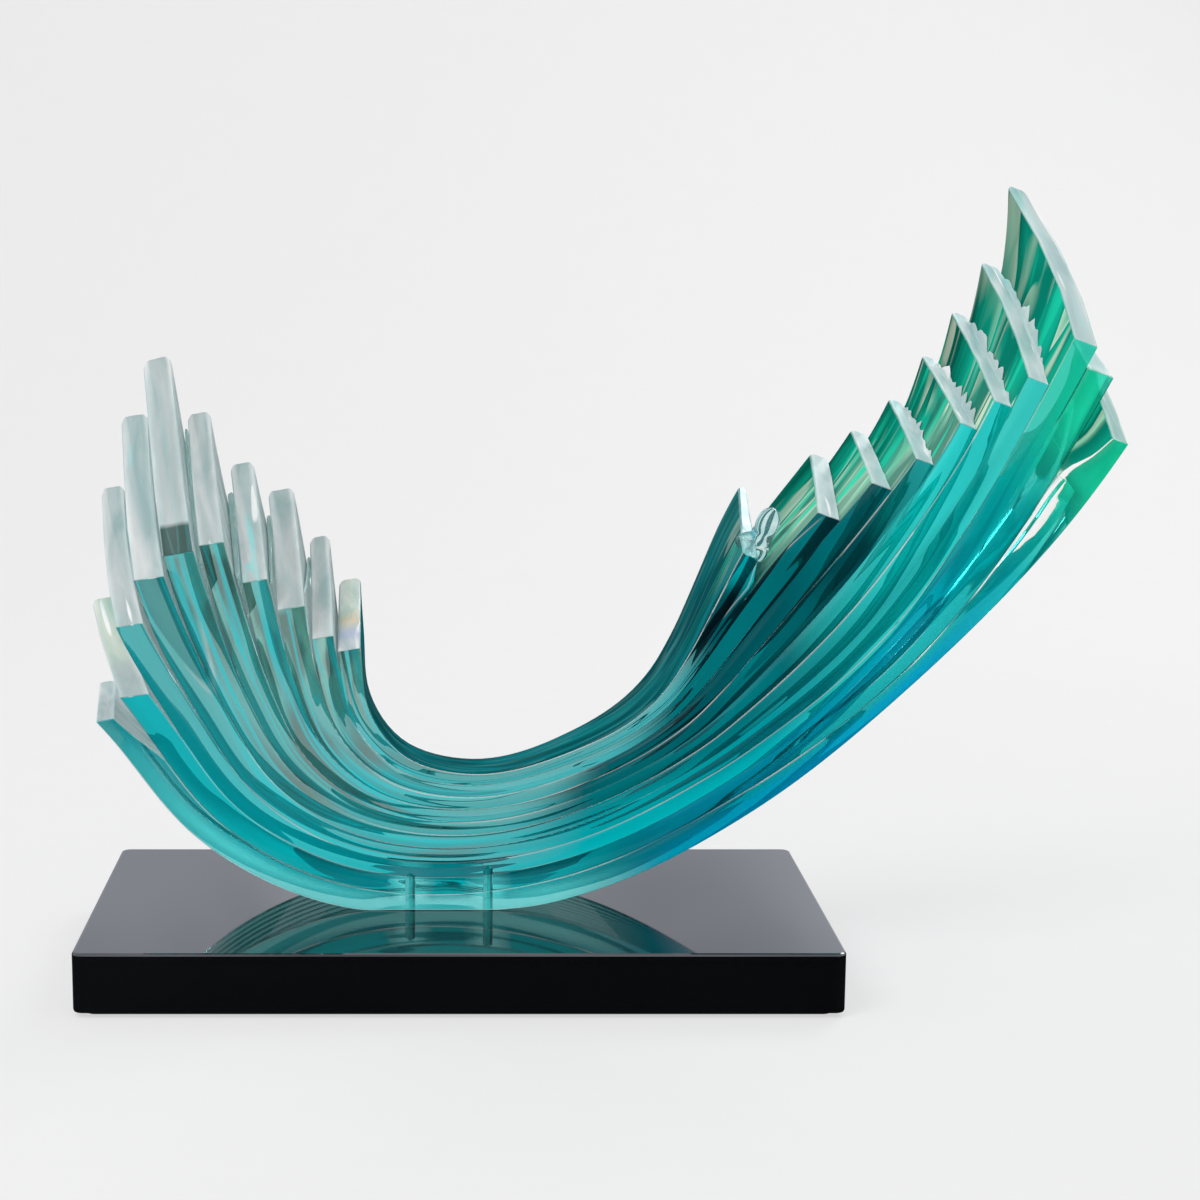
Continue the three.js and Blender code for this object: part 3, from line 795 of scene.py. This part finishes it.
def bar_colours(settings, loft, bar):
    """Colours of a bar's sides with streak shares, and shares of clear, glaring and shaded resin.

    Places run from 0 to 1: across the sculpture from left to right, share along the bar,
    height up the stack, rung up the section and depth into it.
    """
    ring_p, ring_q = loft.ring.T
    places = loft.place(np.arange(len(loft.along)), ring_p, ring_q)
    across = (places[:, :, 0] - CAD_BOX[0][0]) / (CAD_BOX[1][0] - CAD_BOX[0][0])

    def spread(values):
        return np.broadcast_to(values, across.shape)

    def lay(name, amount):
        nonlocal colours
        colours = blend(colours, *hues(settings, name), amount)

    share = spread((loft.along / loft.along[-1])[:, None])
    height = (bar - 1) / (TOP_BAR - 1)
    rung = spread(ACROSS[ring_q])
    depth = spread(loft.side[ring_p, 0] / loft.depth)
    wander = np.array([waver(a / 0.07, bar * 5.3, 0.0) for a in loft.along])[:, None]
    top = smooth(0.7, 1.0, height)
    right = smooth(0.41 + 0.14 * top, 0.49 + 0.12 * top, across)
    near_left, near_right = 1 - smooth(0.06, 0.24, share), smooth(0.9, 0.97, share)
    turquoise, sage, lagoon, deep_teal = hues(settings, "turquoise", "sage", "lagoon", "deep_teal")

    # Turquoise to grey-green on the left arm and the foot
    band = smooth(0.2, 0.8, rung + 0.6 * wander)
    under = smooth(0.18, 0.3, across)
    grey = smooth(0.15, 0.55, height) * (0.4 - 0.25 * under + 0.5 * band) * (1 - 0.25 * under)
    colours = blend(turquoise, sage, grey) * (1 - 0.1 * under)[:, :, None]

    # Darker upwards on the right arm, and paler towards its tips
    arm = blend(lagoon, deep_teal, np.clip(smooth(0.2, 0.65, height) + 0.3 * wander, 0, 1))
    colours = blend(colours, arm, right)
    later = smooth(0.5, 0.75, height)
    far = smooth(0.66 + 0.14 * later, 0.8 + 0.1 * later, across + 0.06 * wander)
    lay("sea", far * (1 - smooth(0.7, 0.86, height)) * (0.6 + 0.4 * smooth(0.15, 0.35, height)))
    lay("green", smooth(0.86, 0.97, share) * (1 - smooth(0.15, 0.4, height)))

    # Misty and patchy left tips
    lay("sage", 0.5 * near_left * smooth(0.1, 0.3, height))
    lay("mist", 0.7 * near_left * smooth(0.45, 0.7, height))
    lay("turquoise", 0.7 * near_right * smooth(0.85, 1.0, height))
    murk = np.array([[waver(a / 0.03, 1.5 * c + 7.1 * bar, 2.0) for c in ACROSS[ring_q]]
                     for a in loft.along])
    murky = smooth(-0.05, 0.15, murk) * (1 - smooth(0.08, 0.2, share))
    lay("olive", 0.85 * murky * smooth(0.3, 0.45, height))

    # The lowest bar's pale foot, blue slope and glaring wedge, and the light around the studs
    clearness = 0.9 + 0.09 * smooth(0.5, 0.8, height) * right - 0.2 * near_left
    clearness = clearness - (0.45 if bar in MILKY_TIPS else 0.2) * near_right
    glare = np.zeros(across.shape)
    if bar in MILKY_BARS:
        clearness = np.minimum(clearness, 0.82)
    if bar == 1:
        low = 1 - smooth(0.45, 0.95, rung)
        foot = (1 - smooth(0.45, 0.56, across)) * (0.3 + 0.7 * smooth(0.03, 0.17, share))
        slope = smooth(0.5, 0.62, across) * (1 - smooth(0.8, 0.92, across))
        lay("aqua", low * foot)
        lay("blue", 0.95 * low * slope)
        glare = smooth(-0.05, 0.12, rung - 0.93 + 0.42 * bell(share, 0.915, 0.035)) * (share > 0.7)
        milky = 0.3 * low * np.maximum(foot, 0.8 * slope)
        clearness = np.where(depth < 0.1, clearness - milky, clearness)
    for stud in STUD_NAMES:
        beside = np.abs(places[:, :, 0] - sum(corner[0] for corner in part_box(stud)) / 2)
        lay("aqua", 0.8 * (1 - smooth(0.003, 0.008, beside)) * (1 - smooth(0.1, 0.24, height)))

    # Light, shadow and colour in the front edges beside the seams
    low_edge, high_edge = (spread((ring_p == 0) & (ring_q == q)) for q in (0, RUNGS))
    light = SEAM_LIGHT_LEFT[bar - 1] + (SEAM_LIGHT_RIGHT[bar - 1] - SEAM_LIGHT_LEFT[bar - 1]) * right
    lit = high_edge * light * smooth(-0.3, 0.1, wander)
    if bar == 1:
        lit = np.maximum(lit, 0.9 * low_edge * (1 - right))
    else:
        lay("deep_teal", 0.9 * low_edge * SEAM_LIGHT_RIGHT[bar - 2] * right)
        lay("umber", 0.85 * low_edge * (1 - right) * smooth(-0.45, 0.1, wander))
    lay("aqua", 0.6 * high_edge * (1 - right) * smooth(-0.3, 0.2, wander))
    lay("rim", 0.9 * lit)
    clearness = clearness * (1 - 0.6 * lit)
    on_rim = spread((ring_p > 0) & (ring_p < ARC_STEPS))
    colours = np.where(on_rim[:, :, None], 0.4 * colours, colours)
    shares = 0.9 * (1 - smooth(0.3, 0.5, across)) * smooth(0.15, 0.35, height)
    shares = np.where(on_rim, light * (rung > 0.5), shares)

    # Outer and inner faces: vivid on the left, streaked inside, frosted at the free left tips
    on_outer, on_inner = (spread((ring_p >= ARC_STEPS) & (ring_q == q)) for q in (0, RUNGS))
    if bar > 1:
        vivid = (on_outer | on_inner) * smooth(0.06, 0.16, share) * (1 - right)
        colours = blend(colours, 1.25 * turquoise, 0.65 * vivid)
    inside, streaks = inner_colours(settings, bar, across, share, depth, wander)
    colours = np.where(on_inner[:, :, None], inside, colours)
    free = on_outer if bar == TOP_BAR else on_outer | on_inner
    lay("frost", 0.9 * free * (1 - smooth(0.05, 0.16, share)))
    shares = np.where(on_inner, streaks, shares)
    shade = 0.55 + 0.4 * right * (1 - near_right)
    tint = np.concatenate([colours, shares[:, :, None]], axis=2).reshape(-1, 4)
    values = {"clearness": np.clip(clearness, 0, 1), "glare": glare, "shade": shade}
    return tint, {name: value.ravel() for name, value in values.items()}


def end_colours(settings, loft, bar):
    """Colours of the two end faces of a bar with vein shares, left one first."""
    rows, columns = len(loft.side), RUNGS + 1
    frost, cream, aqua, olive, peach, lavender, turquoise = hues(
        settings, "frost", "cream", "aqua", "olive", "peach", "lavender", "turquoise")
    white = np.ones(3)
    depth = np.repeat(loft.side[:, 0] / loft.depth, columns)
    # Share of painted highlight along the long edges of the end faces, laid on below as white
    edge = np.tile(smooth(0.38, 0.5, np.abs(ACROSS - 0.5)), rows)
    plain = np.tile(frost, (rows * columns, 1))
    left = plain * (0.9 + 0.06 * math.sin(2.1 * bar))
    if bar in WARM_TABS:
        left = blend(left, cream, 0.6 * smooth(0.2, 0.5, depth))
    left = blend(left, white, 0.5 * edge)
    if bar == TOP_BAR:
        left = blend(left, peach, 0.8 * bell(depth, 0.42, 0.1))
        left = blend(left, lavender, 0.6 * bell(depth, 0.22, 0.1))
    if bar == DARK_TAB:
        left = blend(left, olive, 1 - smooth(0.14, 0.15, depth))
    right = blend(plain, aqua, 0.12)
    right = blend(right, turquoise, 0.85) if bar == TOP_BAR else blend(right, white, 0.5 * edge)
    veins = np.repeat([0.6 if bar in VEINED_TABS else 0.1, 0.3], rows * columns)
    return np.column_stack([np.concatenate([left, right]), veins])


def bar_loft(settings, node):
    """The rounded sections of a bar."""
    return Loft(node, settings.station_length, settings.front_edge, settings.back_edge)


def bar_lift(settings, loft, bar):
    """A function that bulges and ripples a bar's front and back, and fills its bonded seams."""
    def lift(stations, p, q):
        across, facing = ACROSS[q], loft.facing(p)
        bulge = settings.crown * 4 * across * (1 - across)
        lanes = across * RIPPLE_ACROSS + facing * RIPPLE_APART
        turns = loft.along[stations] / settings.ripple_length
        waves = settings.ripple * np.array([[waver(t, lane, bar * 3.7) for lane in lanes] for t in turns])
        reach = np.zeros((len(stations), len(p)))
        flush = settings.seam_fill + np.where(p < ARC_STEPS, loft.side[p, 1], 0.0)
        for kind, edge, sign in ((OUTER, 0, -1), (INNER, RUNGS, 1)):
            if kind in loft.bonded:
                reach += sign * np.outer(loft.bonded[kind][stations], flush * (q == edge))
        return reach, facing * (bulge + waves)
    return lift


def burrs(settings, loft, bar, p):
    """How far the torn lower edge of a tooth stands out, along its depth."""
    depths = loft.side[p, 0]
    torn = [abs(waver(d / COARSE_BURR, bar * 2.3, 0.0))
            + FINE_BURR_SHARE * abs(waver(d / FINE_BURR, bar * 4.1, 1.0)) for d in depths]
    inside = smooth(BURR_START, BURR_FULL, depths)
    inside = inside * (1 - smooth(loft.depth - BURR_FULL, loft.depth - BURR_START, depths))
    return settings.burr * np.array(torn) * inside


def saw_marks(settings, loft, bar):
    """A function that makes a bar's end faces uneven, and tears the lower edge of some right ends."""
    def mark(points, p, q, end):
        way = loft.outer[end] - loft.outer[1 if end == 0 else end - 1]
        way /= np.linalg.norm(way, axis=1)[:, None]
        marks = settings.saw_mark * np.array([waver(*(point / SAW_PITCH)[:2], bar) for point in points])
        if end and bar in FRAYED_BARS:
            marks = marks + burrs(settings, loft, bar, p) * (1 - smooth(0.0, 0.2, ACROSS[q]))
        return points + way[p] * marks[:, None]
    return mark


class WAVE_OT_build_bars(bpy.types.Operator):
    """Replace the ten bars with rounded, rippled and streaked resin"""

    bl_idname = "wave.build_bars"
    bl_label = "Build resin bars"

    def execute(self, context):
        settings = context.scene.wave_resin
        resin, frost = resin_material(settings), frost_material(settings)
        rim, inner = rim_material(settings), inner_material(settings)
        finishes = [resin, frost, rim, inner, resin, bond_material(), frost]
        for bar, (node, loft) in enumerate(zip(BAR_NAMES, self.stack(settings)), start=1):
            mesh = build_skin("resin_" + node, loft, settings.end_bevel, bar_lift(settings, loft, bar),
                              saw_marks(settings, loft, bar))
            tint, shares = bar_colours(settings, loft, bar)
            ends = end_colours(settings, loft, bar)
            add_tint(mesh, np.concatenate([tint, ends]))
            for name, values in shares.items():
                add_share(mesh, name, np.concatenate([values, np.zeros(len(ends))]))
            seams = part_seams(mesh, {BOND, LOOSE} | loft.between)
            piece = new_piece("resin_" + node, mesh, finishes, node)
            piece.visible_shadow = bar > STUDDED_BARS
            faces = new_piece("seams_" + node, seams, finishes, node)
            faces.visible_transmission = faces.visible_diffuse = faces.visible_shadow = False
        return {"FINISHED"}

    @staticmethod
    def stack(settings):
        """Lofts of the bars, lowest first, bonded to one another and with one grain."""
        lofts = [bar_loft(settings, node) for node in BAR_NAMES]
        for lower, upper in zip(lofts, lofts[1:]):
            lower.bond(INNER, upper)
            upper.bond(OUTER, lower)
        floor = 0.0
        for loft in lofts:
            loft.share_grain(lofts[TOP_BAR // 2], floor)
            floor += float(loft.thick.mean())
            loft.frosted_until = int(LOOSE_SHARE * len(loft.along))
        return lofts


class WAVE_OT_build_webs(bpy.types.Operator):
    """Replace the four clear webs with rippled resin"""

    bl_idname = "wave.build_webs"
    bl_label = "Build clear webs"

    def execute(self, context):
        settings = context.scene.wave_resin
        material = clear_material("clear_web_resin", clearness=0.45, bending=1.4)
        for index, node in enumerate(WEB_NAMES):
            loft = Loft(node, settings.web_station, settings.end_bevel, settings.end_bevel)

            def lift(stations, p, q, index=index, loft=loft):
                beads = np.abs(np.sin(math.pi * loft.along[stations] / settings.web_rung + index))
                crown = np.sin(math.pi * (0.1 + 0.8 * ACROSS[q]))
                bulge = settings.web_ripple * (2 * beads - 0.2)[:, None] * crown
                return np.zeros((len(stations), len(p))), loft.facing(p) * bulge

            mesh = build_skin("clear_" + node, loft, settings.end_bevel / 2, lift)
            add_clear_tint(mesh, settings)
            new_piece("clear_" + node, mesh, [material] * len(FINISHES), node)
        return {"FINISHED"}


class WAVE_OT_pour_drip(bpy.types.Operator):
    """Add the clear drip in the corner between the top bar's right end and the bar below it"""

    bl_idname = "wave.pour_drip"
    bl_label = "Pour clear drip"

    def execute(self, context):
        settings = context.scene.wave_resin
        below, top = (bar_loft(settings, node) for node in BAR_NAMES[-2:])
        corner = top.run(OUTER, ARC_STEPS)[-1]
        bed = below.run(INNER, ARC_STEPS)
        near = int(np.argmin(np.linalg.norm(bed - corner, axis=1)))
        along = bed[near + 1] - bed[near]
        along /= np.linalg.norm(along)
        up = below.inward[near, ARC_STEPS]
        back = np.array([0.0, 1.0, 0.0])
        centre = corner + settings.drip * (0.5 * along + 0.15 * up + 0.55 * back)
        # Directions and lengths of the drip's arms, and how narrow they are
        arms = ((0.9 * along + 0.35 * up, 0.9), (-0.5 * along + 0.9 * up, 0.6),
                (-0.8 * along - 0.4 * up, 0.4), (back, 0.3), (-0.8 * back + 0.3 * along, 0.2))
        narrowness = 4.5
        bm = bmesh.new()
        bmesh.ops.create_icosphere(bm, subdivisions=5, radius=1.0)
        grain = bm.loops.layers.uv.new("grain")
        for vert in bm.verts:
            way = np.array(vert.co)
            reach = 0.24 + 0.03 * waver(*(way * 1.5))
            for arm, length in arms:
                reach += length * math.exp(narrowness * (way @ arm / np.linalg.norm(arm) - 1.0))
            vert.co = Vector(centre + settings.drip * reach * way)
        for face in bm.faces:
            for loop in face.loops:
                loop[grain].uv = (loop.vert.co.x, loop.vert.co.z)
        mesh = bpy.data.meshes.new("clear_drip")
        bm.to_mesh(mesh)
        bm.free()
        mesh.shade_smooth()
        add_clear_tint(mesh, settings)
        material = clear_material("clear_drip_resin", clearness=0.92, bending=1.22)
        new_piece("clear_drip", mesh, [material])
        return {"FINISHED"}


def cover(node, material):
    """Gives a CAD node a new material."""
    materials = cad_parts[node].data.materials
    materials.clear()
    materials.append(material)


class WAVE_OT_finish_plinth(bpy.types.Operator):
    """Lacquer the plinth and cover its underside with felt"""

    bl_idname = "wave.finish_plinth"
    bl_label = "Finish plinth"

    def execute(self, context):
        settings = context.scene.wave_plinth
        lacquer = Recipe("black_lacquer")
        cloud = lacquer.rise(lacquer.solid_noise(9.0, 3.0), 0.35, 0.65)
        colour = lacquer.mix(cloud, settings.black, scaled(settings.black, 0.6))
        wave = lacquer.bump(lacquer.solid_noise(14.0, 1.0), 0.02, 0.002)
        cover("base_plinth", lacquer.finish(Base_Color=colour, Roughness=0.04, IOR=2.0, Normal=wave))
        felt = Recipe("pressed_felt")
        fibres = felt.rise(felt.solid_noise(900.0, 4.0), 0.3, 0.7)
        colour = felt.mix(fibres, scaled(settings.felt, 0.5), settings.felt)
        nap = felt.bump(felt.solid_noise(1400.0, 3.0), 0.6, 0.0006)
        cover("base_felt", felt.finish(Base_Color=colour, Roughness=0.95, Normal=nap))
        return {"FINISHED"}


class WAVE_OT_finish_fixings(bpy.types.Operator):
    """Give the washers and nuts a plated finish, and the studs painted light and shade on their flanks"""

    bl_idname = "wave.finish_fixings"
    bl_label = "Finish fixings"

    def execute(self, context):
        settings = context.scene.wave_plinth
        plated, painted_studs = self.plated_material(settings), self.painted_flank_material(settings)
        for node in FIXING_NAMES:
            cover(node, painted_studs if node in STUD_NAMES else plated)
        return {"FINISHED"}

    @staticmethod
    def plated_material(settings):
        """Plain plated steel."""
        recipe = Recipe("plated_steel")
        grain = recipe.rise(recipe.solid_noise(700.0, 3.0), 0.3, 0.7)
        colour = recipe.mix(grain, scaled(settings.steel, 0.7), settings.steel)
        return recipe.finish(Base_Color=colour, Roughness=0.35)

    @staticmethod
    def painted_flank_material(settings):
        """Steel with painted light and shade: a painted highlight on its left flank and painted shade on
        its right one.
        """
        recipe = Recipe("steel_with_painted_flanks")
        normal = recipe.add("TexCoord").outputs["Normal"]
        sideways = recipe.add("SeparateXYZ", {0: normal}).outputs["X"]
        turn = recipe.spanned(sideways, -1.0, 1.0, 0.0, 1.0)
        steel, body, shade = settings.steel, settings.stud_body, settings.stud_shade
        # Painted highlight and painted shade, set by which way each face of a stud points
        painted_flanks = recipe.ramp(turn, (0.02, body), (0.06, steel), (0.32, steel), (0.4, body), (0.7, body),
                             (0.8, shade), (1.0, shade))
        worn = recipe.ramp(recipe.solid_noise(350.0, 3.0), (0.3, 0.75), (0.6, 1.0))
        return recipe.finish(Base_Color=recipe.tinted(painted_flanks, worn), Roughness=0.35)


class WAVE_OT_build_stage(bpy.types.Operator):
    """Set up the pale floor, the soft lamps and the camera"""

    bl_idname = "wave.build_stage"
    bl_label = "Build stage"

    def execute(self, context):
        settings = context.scene.wave_stage
        self.build_floor(settings)
        self.build_world(context.scene, settings)
        self.build_lamps()
        self.build_camera(context.scene, settings)
        context.scene.view_settings.view_transform = "Standard"
        return {"FINISHED"}

    @staticmethod
    def build_floor(settings):
        """A floor that curves up into a backdrop behind the sculpture."""
        bend, front, back, top, half = 0.8, -2.6, 1.6, 2.6, 3.4
        profile = [(front, 0.0), (back - bend, 0.0)]
        profile += [(back - bend + bend * math.sin(t), bend * (1 - math.cos(t)))
                    for t in np.linspace(0, math.pi / 2, FLOOR_STEPS + 1)[1:]]
        profile += [(back, top)]
        points = [(x, y, z) for x in (-half, half) for y, z in profile]
        count = len(profile)
        faces = [(i, i + count, i + count + 1, i + 1) for i in range(count - 1)]
        mesh = bpy.data.meshes.new("floor")
        mesh.from_pydata(points, [], faces)
        mesh.shade_smooth()
        recipe = Recipe("pale_paper")
        fleck = recipe.rise(recipe.solid_noise(40.0, 2.0), 0.3, 0.7)
        colour = recipe.mix(fleck, settings.backdrop, scaled(settings.backdrop, 0.995))
        plain = recipe.add("BsdfDiffuse", {"Color": colour}).outputs[0]
        glow = recipe.add("Emission", {"Color": colour, "Strength": 1.0}).outputs[0]
        rays = recipe.add("LightPath").outputs
        seen = recipe.math("MAXIMUM", rays["Is Camera Ray"], rays["Is Glossy Ray"])
        seen = recipe.math("MAXIMUM", seen, rays["Is Transmission Ray"])
        paper = recipe.mix_shader(seen, plain, recipe.mix_shader(0.7, plain, glow))
        mesh.materials.append(recipe.surface(paper))
        floor = put("floor", mesh)
        floor.visible_glossy = False

    @staticmethod
    def build_world(scene, settings):
        """Even light from all round; polished faces mirror a pale upper half over a dark room."""
        recipe = Recipe("studio", "World")

        def sky(colour, strength):
            return recipe.add("Background", {"Color": colour, "Strength": strength}).outputs[0]

        place = recipe.add("TexCoord").outputs["Generated"]
        upward = recipe.add("SeparateXYZ", {0: place}).outputs["Z"]
        cloud = recipe.add("TexNoise", {"Vector": place, "Scale": 7.0, "Detail": 2.0, "Distortion": 0.6})
        strength = recipe.times(recipe.spanned(upward, -0.06, 0.1, 0.02, 1.0),
                                recipe.spanned(cloud.outputs["Fac"], 0.35, 0.65, 0.7, 1.15))
        rays = recipe.add("LightPath").outputs
        base = recipe.mix_shader(rays["Is Glossy Ray"], sky(settings.backdrop, 0.75),
                                 sky((0.86, 0.9, 1.0), strength))
        straight = recipe.math("MAXIMUM", rays["Is Camera Ray"], rays["Is Transmission Ray"])
        scene.world = recipe.surface(recipe.mix_shader(straight, base, sky(settings.backdrop, 1.0)))

    @staticmethod
    def build_lamps():
        """A large lamp above left, and a weaker one behind right."""
        for name, place, size, watts in LAMPS:
            data = bpy.data.lights.new(name, "AREA")
            data.shape = "DISK"
            data.size = size
            data.energy = watts
            lamp = put(name, data)
            lamp.location = place
            lamp.rotation_euler = (LAMP_TARGET - Vector(place)).to_track_quat("-Z", "Y").to_euler()

    @staticmethod
    def build_camera(scene, settings):
        """The photograph's view: level across, looking slightly down, its frame shifted sideways."""
        data = bpy.data.cameras.new("camera")
        data.sensor_fit = "HORIZONTAL"
        data.sensor_width = SENSOR_WIDTH
        data.lens = settings.focal_pixels * SENSOR_WIDTH / IMAGE_SIDE
        data.shift_x = (IMAGE_SIDE / 2 - settings.axis_pixel) / IMAGE_SIDE
        camera = put("camera", data)
        camera.location = (settings.camera_x, settings.camera_y, PLINTH_TOP + settings.camera_height)
        camera.rotation_euler = (math.pi / 2 - settings.camera_tilt, 0, 0)
        scene.camera = camera


class WAVE_PT_panel(bpy.types.Panel):
    """Buttons and settings of the wave sculpture"""

    bl_idname = "WAVE_PT_panel"
    bl_label = "Wave sculpture"
    bl_space_type = "VIEW_3D"
    bl_region_type = "UI"
    bl_category = "Wave"

    def draw(self, context):
        for operator in OPERATORS:
            self.layout.operator(operator.bl_idname)
        for name in SETTINGS:
            group = getattr(context.scene, name)
            for key in group.bl_rna.properties.keys():
                if key not in ("rna_type", "name"):
                    self.layout.prop(group, key)


OPERATORS = (WAVE_OT_build_bars, WAVE_OT_build_webs, WAVE_OT_pour_drip, WAVE_OT_finish_plinth,
             WAVE_OT_finish_fixings, WAVE_OT_build_stage)
SETTINGS = {"wave_resin": WaveResinSettings, "wave_plinth": WavePlinthSettings,
            "wave_stage": WaveStageSettings}
CLASSES = (*SETTINGS.values(), *OPERATORS, WAVE_PT_panel)


def register():
    """Adds the classes and the scene's settings."""
    for cls in CLASSES:
        bpy.utils.register_class(cls)
    for name, cls in SETTINGS.items():
        setattr(bpy.types.Scene, name, PointerProperty(type=cls))


def unregister():
    """Takes them away again."""
    for name in SETTINGS:
        delattr(bpy.types.Scene, name)
    for cls in reversed(CLASSES):
        bpy.utils.unregister_class(cls)


def main():
    """Builds the sculpture's looks."""
    register()
    bpy.ops.wave.build_bars()
    bpy.ops.wave.build_webs()
    bpy.ops.wave.pour_drip()
    bpy.ops.wave.finish_plinth()
    bpy.ops.wave.finish_fixings()
    bpy.ops.wave.build_stage()


if __name__ == "__main__":
    main()
